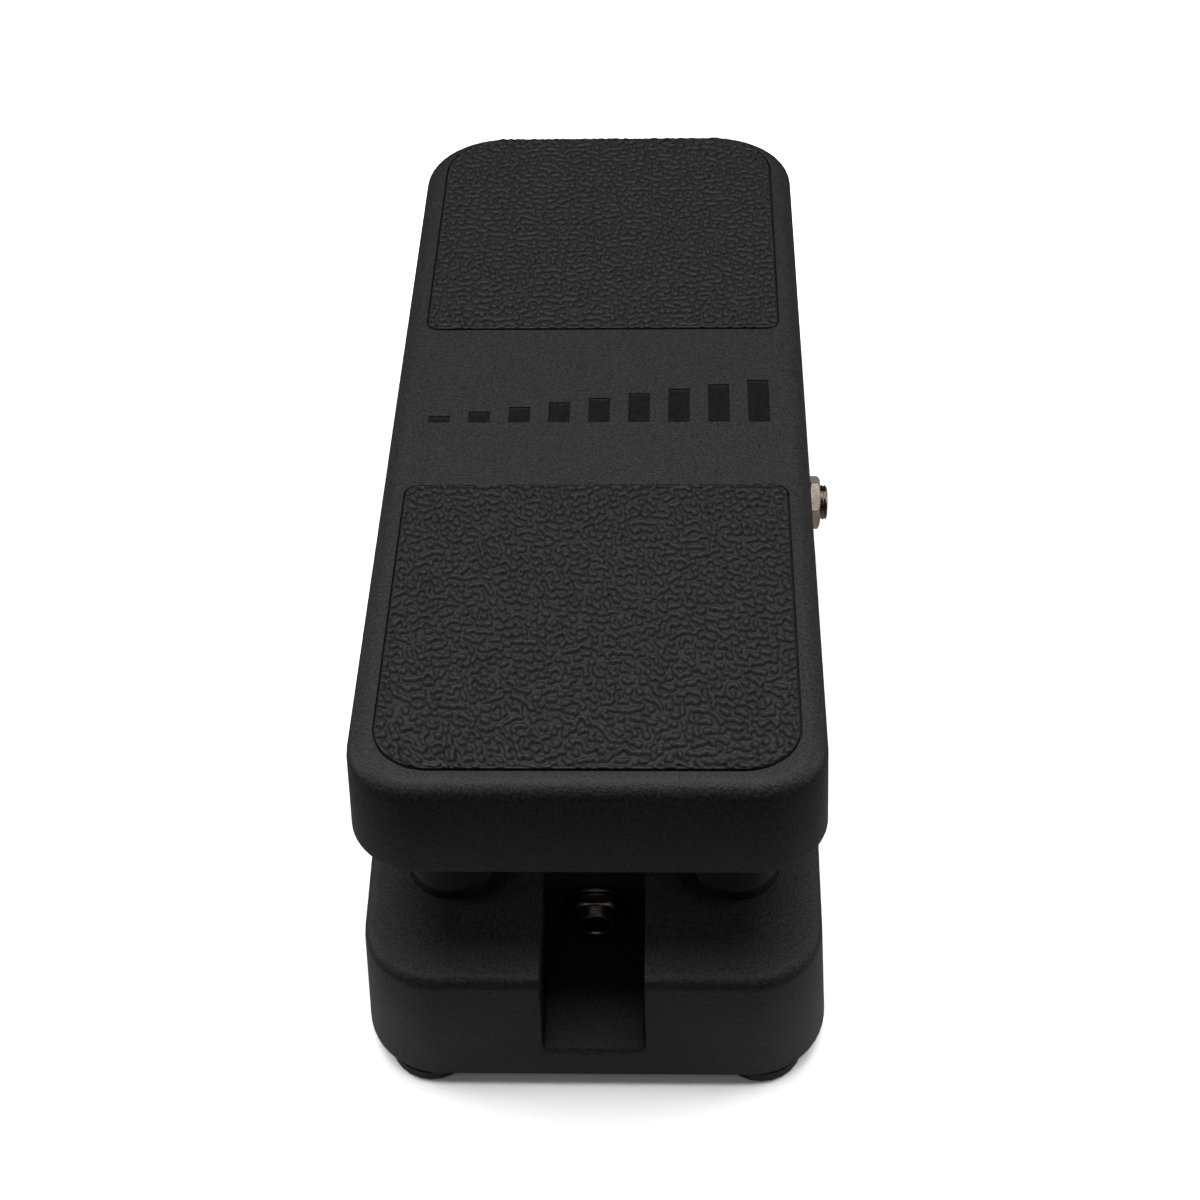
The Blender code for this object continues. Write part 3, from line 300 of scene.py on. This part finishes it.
def pebbled_rubber():
    """The pads' rubber: a speckled, dusty skin, painted almost black in its crevices as shade, and quite
    dull there.
    """
    material, tree, shader = new_material("pad_rubber_black", PAD_COLOR, PAD_ROUGHNESS, specular=0.42)
    vector = coordinates(tree)
    skin = noise(tree, vector, 2100.0, 2.0)
    dust = noise(tree, vector, 140.0, 5.0, 0.65)
    speckle = mixed_color(tree, remap(tree, skin, NARROW), *PAD_SPECKLE)
    tone = mixed_color(tree, remap(tree, dust, DUSTY, (0.55, 0.95)), PAD_COLOR, speckle)
    # The attribute paints shade into the crevices' colour and also makes them duller.
    attribute = tree.nodes.new("ShaderNodeAttribute")
    attribute.attribute_name = PAINTED_SHADE_ATTRIBUTE
    crevice_shade = attribute.outputs["Fac"]
    set_color(tree, shader, mixed_color(tree, crevice_shade, tone, PAD_CREVICE_SHADE_COLOR))
    set_roughness(tree, shader, crevice_shade, FULL, (PAD_ROUGHNESS, PAD_CREVICE_ROUGHNESS))
    bumped(tree, shader, [(skin, 0.00012, 0.9)])
    return material


def mark_enamel():
    """Satin black enamel, darker than the powder coat round it."""
    material, tree, shader = new_material("mark_enamel_black", ENAMEL_COLOR, 0.45, specular=0.25)
    ripple = noise(tree, coordinates(tree), 900.0, 3.0)
    set_color(tree, shader, mixed_color(tree, remap(tree, ripple, WIDE), *ENAMEL_RIPPLE))
    set_roughness(tree, shader, ripple, WIDE, (0.38, 0.52))
    bumped(tree, shader, [(ripple, 0.00005, 0.5)])
    return material


def plated_metal(name, color, tarnish, roughness, stretch):
    """Plated or drawn metal with fine lines along one direction and a little tarnish."""
    material, tree, shader = new_material(name, color, roughness, metallic=1.0)
    lines = noise(tree, coordinates(tree, stretch), 900.0, 4.0)
    patches = noise(tree, coordinates(tree), 220.0, 3.0)
    set_color(tree, shader, mixed_color(tree, remap(tree, patches, (0.45, 0.75)), color, tarnish))
    set_roughness(tree, shader, lines, WIDE, (roughness * 0.7, roughness * 1.4))
    bumped(tree, shader, [(lines, 0.00001, 0.4)])
    return material


def moulded_plastic(name, color, light, roughness):
    """Injection-moulded plastic with a light spark-eroded texture."""
    material, tree, shader = new_material(name, color, roughness)
    vector = coordinates(tree)
    spark = noise(tree, vector, 2200.0, 2.0)
    flow = noise(tree, vector, 90.0, 2.0)
    set_color(tree, shader, mixed_color(tree, remap(tree, flow, WIDE), color, light))
    set_roughness(tree, shader, spark, WIDE, (roughness - 0.05, roughness + 0.07))
    bumped(tree, shader, [(spark, 0.00002, 0.5)])
    return material


MATERIALS = {
    "black_powder_coat": powder_coat(),
    "pad_rubber": pebbled_rubber(),
    "foot_rubber": rubber(
        "foot_rubber_black", (0.013, 0.013, 0.0135), (0.022, 0.022, 0.022), 0.62),
    # Nickel's colour is painted darker than bare nickel, as shade for the jack deep in the heel slot;
    # its warm tint and tarnish patches are its own.
    "nickel": plated_metal(
        "nickel_plate_darkened_as_shade", (0.42, 0.37, 0.30), (0.26, 0.22, 0.17), 0.20, (1.0, 1.0, 6.0)),
    "zinc_steel": plated_metal(
        "zinc_plated_steel", (0.58, 0.60, 0.62), (0.44, 0.45, 0.46), 0.36, (1.0, 0.06, 1.0)),
    "black_plastic": moulded_plastic(
        "jack_body_plastic", (0.018, 0.018, 0.019), (0.026, 0.026, 0.027), 0.42),
    "cable_jacket": moulded_plastic(
        "cable_jacket_grey", (0.035, 0.035, 0.037), (0.05, 0.05, 0.052), 0.48),
    "white_nylon": moulded_plastic(
        "natural_nylon", (0.74, 0.72, 0.64), (0.80, 0.78, 0.71), 0.44),
    "bronze": plated_metal(
        "sintered_bronze", (0.56, 0.36, 0.18), (0.36, 0.22, 0.11), 0.42, (1.0, 1.0, 1.0)),
}


# ---------------------------------------------------------------- mesh helpers
def add_piece(name, bm, slot, body, replaced=(), smooth=True, material=None):
    """Makes a piece from a bmesh, gives it a material or its slot's, and lets it ride on a body."""
    mesh = bpy.data.meshes.new(name)
    bm.to_mesh(mesh)
    bm.free()
    mesh.polygons.foreach_set("use_smooth", [smooth] * len(mesh.polygons))
    mesh.materials.append(material or MATERIALS[slot])
    piece = bpy.data.objects.new(name, mesh)
    bpy.context.scene.collection.objects.link(piece)
    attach(piece, body)
    if replaced:
        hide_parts(*replaced)
    return piece


def split_sharp_edges(piece, angle=SMOOTH_ANGLE):
    """Shades a piece smooth apart from its sharp edges."""
    split = piece.modifiers.new("sharp_edges", "EDGE_SPLIT")
    split.split_angle = angle


def smooth_cad_node(node):
    """Shades a CAD node smooth between its sharp edges, in place of the normals it came with."""
    mesh = node.data
    custom = mesh.attributes.get("custom_normal")
    if custom is not None:
        mesh.attributes.remove(custom)
    mesh.polygons.foreach_set("use_smooth", [True] * len(mesh.polygons))
    weld = node.modifiers.new("weld", "WELD")
    weld.merge_threshold = WELD_DISTANCE
    split_sharp_edges(node)


def dress_cad_nodes():
    """Gives every CAD node its slot's material and smooth shading."""
    slots = {row["node"]: row["material_slot"] for row in frame["record"]["subparts"]}
    for name, node in frame["nodes"].items():
        smooth_cad_node(node)
        for material_slot in node.material_slots:
            material_slot.link = "OBJECT"
            material_slot.material = MATERIALS[slots[name]]


def treadle_point(x, y, z):
    """A point of the treadle's level frame, about its pivot, at its place in the row frame."""
    sine = math.sin(-TOE_DOWN)
    cosine = math.cos(-TOE_DOWN)
    return Vector((x, y * cosine - z * sine, PIVOT_Z + y * sine + z * cosine))


# ---------------------------------------------------------------- pebbled pads
def pebble_height(x, y, seed):
    """The pad's height below its highest point at each place: flat-topped islands of random outline.

    The islands are where a sum of plane waves of about one wavelength is above a level.
    """
    rng = np.random.default_rng(seed)
    relief = np.zeros_like(x)
    swell = np.zeros_like(x)
    for _ in range(PEBBLE_WAVES):
        direction = rng.uniform(0, 2 * math.pi)
        number = 2 * math.pi / rng.uniform(*PEBBLE_SPACING)
        along = x * math.cos(direction) + y * math.sin(direction)
        phase = rng.uniform(0, 2 * math.pi)
        relief += np.cos(number * along + phase)
        swell += np.cos(number * along / SWELL_STRETCH + 2 * phase)
    relief *= math.sqrt(2 / PEBBLE_WAVES)
    swell *= math.sqrt(2 / PEBBLE_WAVES)
    rise = np.clip((relief - PEBBLE_LEVEL) / PEBBLE_EDGE, 0, 1)
    step = rise * rise * (3 - 2 * rise)
    lift = PEBBLE_TOP + PEBBLE_SWELL * np.clip(swell, -2, 2)
    crown = PEBBLE_CROWN * np.clip(relief, 0, 2)
    return -PEBBLE_HEIGHT * (1 - step * np.minimum(1.0, lift + crown))


def crevice_shade_mask(height):
    """How far each place lies below the mean of the block on its toe side, in CREVICE_DEPTHs up to 1:
    the amount of painted shade in the pads' crevices.
    """
    padded = np.pad(height, CREVICE_REACH, mode="edge")
    rows, columns = height.shape
    total = np.zeros_like(height)
    for j, i in CREVICE_BLOCK:
        row = CREVICE_REACH + j
        column = CREVICE_REACH + i
        total += padded[row:row + rows, column:column + columns]
    mean = total / len(CREVICE_BLOCK)
    return np.clip((mean - height) / CREVICE_DEPTH, 0, 1)


def pad_corner(end, inner_end):
    """The corner radius at one end of a pad. Ends are +1 or -1, and inner_end faces the other pad."""
    if end == inner_end:
        return PAD_SMALL_CORNER
    return PAD_TOE_CORNER if end > 0 else PAD_HEEL_CORNER


def pad_half_width(y, inner_end):
    """Half the pad's width at a distance from its centre."""
    corner = pad_corner(math.copysign(1, y), inner_end)
    into_corner = abs(y) - (PAD_HALF_LENGTH - corner)
    if into_corner <= 0:
        return PAD_HALF_WIDTH
    return PAD_HALF_WIDTH - corner + math.sqrt(max(0.0, corner ** 2 - into_corner ** 2))


def pad_rows(inner_end):
    """The y of each row of the pad's grid, closer together where the corners turn."""
    rows = list(np.linspace(-PAD_HALF_LENGTH, PAD_HALF_LENGTH, int(2 * PAD_HALF_LENGTH / PAD_GRID)))
    for end in (-1, 1):
        corner = pad_corner(end, inner_end)
        for step in range(1, PAD_CORNER_ROWS):
            angle = math.pi / 2 * (1 - (step / (2 * PAD_CORNER_ROWS)) ** PAD_CORNER_CROWDING)
            rows.append(end * (PAD_HALF_LENGTH - corner * (1 - math.sin(angle))))
    return np.unique(np.round(rows, 6))


def pad_surface(inner_end, seed):
    """The pad's top on its grid: x, y and height below the highest point, and how much painted shade
    each place gets in a crevice.
    """
    ys = pad_rows(inner_end)
    columns = int(2 * PAD_HALF_WIDTH / PAD_GRID)
    share = np.linspace(-1, 1, columns)
    widths = np.array([pad_half_width(y, inner_end) for y in ys])
    x = share[None, :] * widths[:, None]
    y = np.repeat(ys[:, None], columns, axis=1)
    to_edge = np.minimum(widths[:, None] - np.abs(x), PAD_HALF_LENGTH - np.abs(y))
    inside = np.clip(to_edge / PAD_EDGE_WIDTH, 0, 1)
    height = pebble_height(x, y, seed) * (PAD_EDGE_RELIEF + (1 - PAD_EDGE_RELIEF) * inside)
    crevice_shade_amount = crevice_shade_mask(height)
    height -= PAD_EDGE_DROP * (1 - np.sqrt(1 - (1 - inside) ** 2))
    return x, y, height, crevice_shade_amount


def grid_rim(rows, columns):
    """The (row, column) of each place on a grid's rim, once round."""
    rim = [(0, i) for i in range(columns)]
    rim += [(j, columns - 1) for j in range(1, rows)]
    rim += [(rows - 1, i) for i in range(columns - 2, -1, -1)]
    rim += [(j, 0) for j in range(rows - 2, 0, -1)]
    return rim


def add_pad_walls(bm, grid, low, rim):
    """Closes a pad: its sides, from the rim's low points up to the grid, and its flat back."""
    for place, (j, i) in enumerate(rim):
        follow = (place + 1) % len(rim)
        next_j, next_i = rim[follow]
        bm.faces.new((low[place], low[follow], grid[next_j][next_i], grid[j][i]))
    bm.faces.new(list(reversed(low)))


def make_pad(end, sign, seed):
    """One rubber pad: its pebbled top, a small round edge and its flat sides and back."""
    x, y, height, crevice_shade_amount = pad_surface(-sign, seed)
    rows, columns = height.shape
    centre = PADS_CENTRE_Y + sign * PAD_OFFSET_Y
    top = TREADLE_TOP + PAD_PROUD
    bottom = TREADLE_TOP - PAD_SUNK
    bm = bmesh.new()
    grid = [[bm.verts.new(treadle_point(x[j, i], centre + y[j, i], top + height[j, i]))
             for i in range(columns)] for j in range(rows)]
    for lower, upper in zip(grid, grid[1:]):
        for i in range(columns - 1):
            bm.faces.new((lower[i], lower[i + 1], upper[i + 1], upper[i]))
    rim = grid_rim(rows, columns)
    low = [bm.verts.new(treadle_point(x[j, i], centre + y[j, i], bottom)) for j, i in rim]
    add_pad_walls(bm, grid, low, rim)
    # The painted crevice shade rides on the pad as a vertex attribute.
    shade = np.zeros(len(bm.verts))
    shade[:crevice_shade_amount.size] = crevice_shade_amount.ravel()
    piece = add_piece(end + "_pad_rubber", bm, "pad_rubber", "treadle", [end + "_pad"])
    piece.data.attributes.new(PAINTED_SHADE_ATTRIBUTE, "FLOAT", "POINT").data.foreach_set("value", shade)
    split_sharp_edges(piece, PAD_SMOOTH_ANGLE)


# ---------------------------------------------------------------- engraved mark
def add_enamel_bar(bm, x, low, high):
    """One bar of enamel: a thin plate whose middle has sunk a little as it dried."""
    floor = TREADLE_TOP - MARK_DEPTH + MARK_GAP
    half = MARK_BAR_WIDTH / 2 - MARK_GAP
    rows = []
    for inset, height in MARK_PROFILE:
        corners = ((x - half + inset, low + inset), (x + half - inset, low + inset),
                   (x + half - inset, high - inset), (x - half + inset, high - inset))
        rows.append([bm.verts.new(treadle_point(cx, cy, floor + height)) for cx, cy in corners])
    for lower, upper in zip(rows, rows[1:]):
        for index in range(4):
            follow = (index + 1) % 4
            bm.faces.new((lower[index], lower[follow], upper[follow], upper[index]))
    bm.faces.new(rows[-1])
    bm.faces.new(list(reversed(rows[0])))


def make_mark():
    """Darker enamel in the floor of each engraved bar between the pads."""
    bm = bmesh.new()
    for index in range(MARK_BARS):
        share = index / (MARK_BARS - 1)
        low = PADS_CENTRE_Y + MARK_BASE_Y
        high = low + MARK_LOW + (MARK_HIGH - MARK_LOW) * share
        add_enamel_bar(bm, MARK_HALF_WIDTH * (2 * share - 1), low + MARK_GAP, high - MARK_GAP)
    add_piece("mark_enamel", bm, "black_powder_coat", "treadle", smooth=False,
              material=mark_enamel())


# ---------------------------------------------------------------- jacks
def closed_rings(name, rings, steps, place, replaced, edge_angle=SMOOTH_ANGLE):
    """A ring-shaped nickel solid on the base.

    rings are functions of the angle that give (radius, height), in order round the section.
    place turns (x, y, height) about the jack's own axis into a point of the row frame.
    """
    bm = bmesh.new()
    rows = []
    for ring in rings:
        row = []
        for step in range(steps):
            angle = 2 * math.pi * step / steps
            radius, height = ring(angle)
            x = radius * math.cos(angle)
            y = radius * math.sin(angle)
            row.append(bm.verts.new(place(x, y, height)))
        rows.append(row)
    for lower, upper in zip(rows, rows[1:] + rows[:1]):
        for step in range(steps):
            follow = (step + 1) % steps
            bm.faces.new((lower[step], lower[follow], upper[follow], upper[step]))
    bmesh.ops.recalc_face_normals(bm, faces=bm.faces)
    piece = add_piece(name, bm, "nickel", "base", [replaced])
    split_sharp_edges(piece, edge_angle)


def thread_radius(angle, height):
    """The radius of a right-handed thread at an angle and height."""
    turn = (height / THREAD_PITCH - angle / (2 * math.pi)) % 1.0
    ridge = 1 - abs(2 * turn - 1)
    return JACK_THREAD_RADIUS - THREAD_DEPTH + THREAD_DEPTH * min(1.0, THREAD_CREST_SLOPE * ridge)


def bushing_rings(start):
    """Rings of a threaded jack bushing, from the inside up the thread and back down the bore."""
    length = THREAD_END - THREAD_RUN_OUT - start
    count = int(length / THREAD_PITCH * THREAD_RINGS_PER_TURN)
    heights = [start + length * step / count for step in range(count + 1)]
    rings = [lambda angle, z=z: (thread_radius(angle, z), z) for z in heights]
    rings.append(lambda angle: (JACK_THREAD_RADIUS - BUSHING_FACE_INSET, THREAD_END))
    for wider, deep in SOCKET_MOUTH:
        rings.append(lambda angle, w=wider, d=deep: (JACK_SOCKET_RADIUS + w, THREAD_END - d))
    rings.append(lambda angle: (JACK_SOCKET_RADIUS, start))
    return rings


def hex_radius(angle):
    """The radius of the nut's hexagon at an angle."""
    return NUT_APOTHEM / math.cos(angle % (math.pi / 3) - math.pi / 6)


def nut_rings():
    """Rings of a hexagon nut whose corners are turned down to a cone on both faces."""
    low, high = NUT_RANGE
    hole = JACK_HOLE_RADIUS

    def cone_drop(angle):
        return max(0.0, hex_radius(angle) - NUT_FACE_RADIUS) * NUT_CONE_SLOPE

    return [
        lambda angle: (hole, low),
        lambda angle: (NUT_FACE_RADIUS, low),
        lambda angle: (hex_radius(angle), low + cone_drop(angle) * NUT_BACK_CONE),
        lambda angle: (hex_radius(angle), high - cone_drop(angle)),
        lambda angle: (NUT_FACE_RADIUS, high),
        lambda angle: (hole + NUT_HOLE_BREAK, high),
        lambda angle: (hole, high - NUT_HOLE_BREAK),
    ]


def washer_rings():
    """Rings of a flat washer with rolled edges."""
    low, high = WASHER_RANGE
    hole = JACK_HOLE_RADIUS
    return [
        lambda angle: (hole, low),
        lambda angle: (WASHER_RADIUS - WASHER_BREAK, low),
        lambda angle: (WASHER_RADIUS, low + 2 * WASHER_BREAK),
        lambda angle: (WASHER_RADIUS, high - WASHER_ROUND),
        lambda angle: (WASHER_RADIUS - WASHER_ROUND, high),
        lambda angle: (hole + WASHER_BREAK, high),
        lambda angle: (hole, high - WASHER_BREAK),
    ]


def make_jack(name, place, start):
    """A jack's threaded bushing, whose back is at the height start, and its nut and washer."""
    closed_rings(name + "_threaded_bushing", bushing_rings(start), JACK_STEPS, place,
                 name + "_bushing", THREAD_SMOOTH_ANGLE)
    closed_rings(name + "_hex_nut", nut_rings(), 2 * JACK_STEPS, place, name + "_nut")
    closed_rings(name + "_flat_washer", washer_rings(), JACK_STEPS, place, name + "_washer")


def make_jacks():
    """The heel jack faces the heel, and the side jack faces right."""
    heel_low, heel_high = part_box("heel_jack_bushing")
    heel_z = (heel_low.z + heel_high.z) / 2
    heel_face = heel_low.y + THREAD_END
    make_jack("heel_jack", lambda x, y, z: (x, heel_face - z, heel_z + y), heel_face - heel_high.y)
    side_low, side_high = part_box("side_jack_bushing")
    side_y = (side_low.y + side_high.y) / 2
    side_z = (side_low.z + side_high.z) / 2
    side_face = side_high.x - THREAD_END
    make_jack("side_jack", lambda x, y, z: (side_face + z, side_y + y, side_z - x),
              side_low.x - side_face)


# ---------------------------------------------------------------- stage
def add_camera():
    """The camera, with the photographed view's place, direction and roll."""
    data = bpy.data.cameras.new("camera")
    data.lens = CAMERA_LENS
    data.sensor_width = CAMERA_SENSOR
    data.clip_start = 0.01
    data.clip_end = 50.0
    camera = bpy.data.objects.new("camera", data)
    bpy.context.scene.collection.objects.link(camera)
    camera.location = CAMERA_PLACE
    camera.rotation_mode = "QUATERNION"
    aim = CAMERA_FORWARD.to_track_quat("-Z", "Y")
    camera.rotation_quaternion = aim @ Quaternion((0, 0, 1), CAMERA_ROLL)
    bpy.context.scene.camera = camera


def add_softboxes():
    """Large soft area lights, all aimed at the pedal."""
    for name, place, size, power in SOFTBOXES:
        data = bpy.data.lights.new(name, "AREA")
        data.shape = "RECTANGLE"
        data.size, data.size_y = size
        data.energy = power
        light = bpy.data.objects.new(name, data)
        bpy.context.scene.collection.objects.link(light)
        light.location = place
        light.rotation_mode = "QUATERNION"
        light.rotation_quaternion = (LIGHT_AIM - Vector(place)).to_track_quat("-Z", "Y")


def seen_or_lit(tree, seen, lit):
    """One value for what the camera sees directly, and another for the light that a surface gives.

    lit is a number or a socket.
    """
    path = tree.nodes.new("ShaderNodeLightPath")
    result = remap(tree, path.outputs["Is Camera Ray"], FULL, (0.0, seen))
    target = result.node.inputs["To Min"]
    if isinstance(lit, float):
        target.default_value = lit
    else:
        tree.links.new(lit, target)
    return result


def distance_outside(tree, half_x, half_y):
    """How far a point lies outside a rectangle round the origin, seen from above."""
    vector = coordinates(tree)
    for operation, other in (("ABSOLUTE", None), ("SUBTRACT", (half_x, half_y, 0.0)),
                             ("MAXIMUM", (0.0, 0.0, 0.0)), ("LENGTH", None)):
        node = tree.nodes.new("ShaderNodeVectorMath")
        node.operation = operation
        tree.links.new(vector, node.inputs[0])
        if other is not None:
            node.inputs[1].default_value = other
        vector = node.outputs[0]
    return node.outputs["Value"]


def add_world():
    """A white backdrop that lights the pedal only a little."""
    world = bpy.data.worlds.new("studio")
    world.use_nodes = True
    bpy.context.scene.world = world
    background = world.node_tree.nodes["Background"]
    background.inputs["Color"].default_value = (1.0, 1.0, 1.0, 1.0)
    world.node_tree.links.new(seen_or_lit(world.node_tree, BACKGROUND_AS_SEEN, WORLD_FILL),
                              background.inputs["Strength"])


def floor_white(half_x, half_y):
    """Plain white that gives back less light away from the pedal, whose half sizes are given."""
    material = bpy.data.materials.new("floor_white")
    material.use_nodes = True
    tree = material.node_tree
    tree.nodes.remove(tree.nodes["Principled BSDF"])
    diffuse = tree.nodes.new("ShaderNodeBsdfDiffuse")
    away = distance_outside(tree, half_x, half_y)
    bounce = remap(tree, away, (0.0, FLOOR_NEAR_REACH), (FLOOR_BOUNCE_NEAR, FLOOR_BOUNCE_FAR))
    tree.links.new(seen_or_lit(tree, FLOOR_AS_SEEN, bounce), diffuse.inputs["Color"])
    tree.links.new(diffuse.outputs["BSDF"], tree.nodes["Material Output"].inputs["Surface"])
    return material


def add_floor():
    """The plain pale floor under the feet."""
    low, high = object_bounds()
    bm = bmesh.new()
    bmesh.ops.create_grid(bm, x_segments=2, y_segments=2, size=FLOOR_HALF)
    mesh = bpy.data.meshes.new("floor")
    bm.to_mesh(mesh)
    bm.free()
    floor = bpy.data.objects.new("floor", mesh)
    floor.location = (0, 0, low.z)
    bpy.context.scene.collection.objects.link(floor)
    mesh.materials.append(floor_white(high.x, high.y))


# ---------------------------------------------------------------- scene
dress_cad_nodes()
make_pad("heel", -1, HEEL_PAD_SEED)
make_pad("toe", 1, TOE_PAD_SEED)
make_mark()
make_jacks()
add_camera()
add_softboxes()
add_world()
add_floor()
bpy.context.scene.view_settings.view_transform = "Standard"
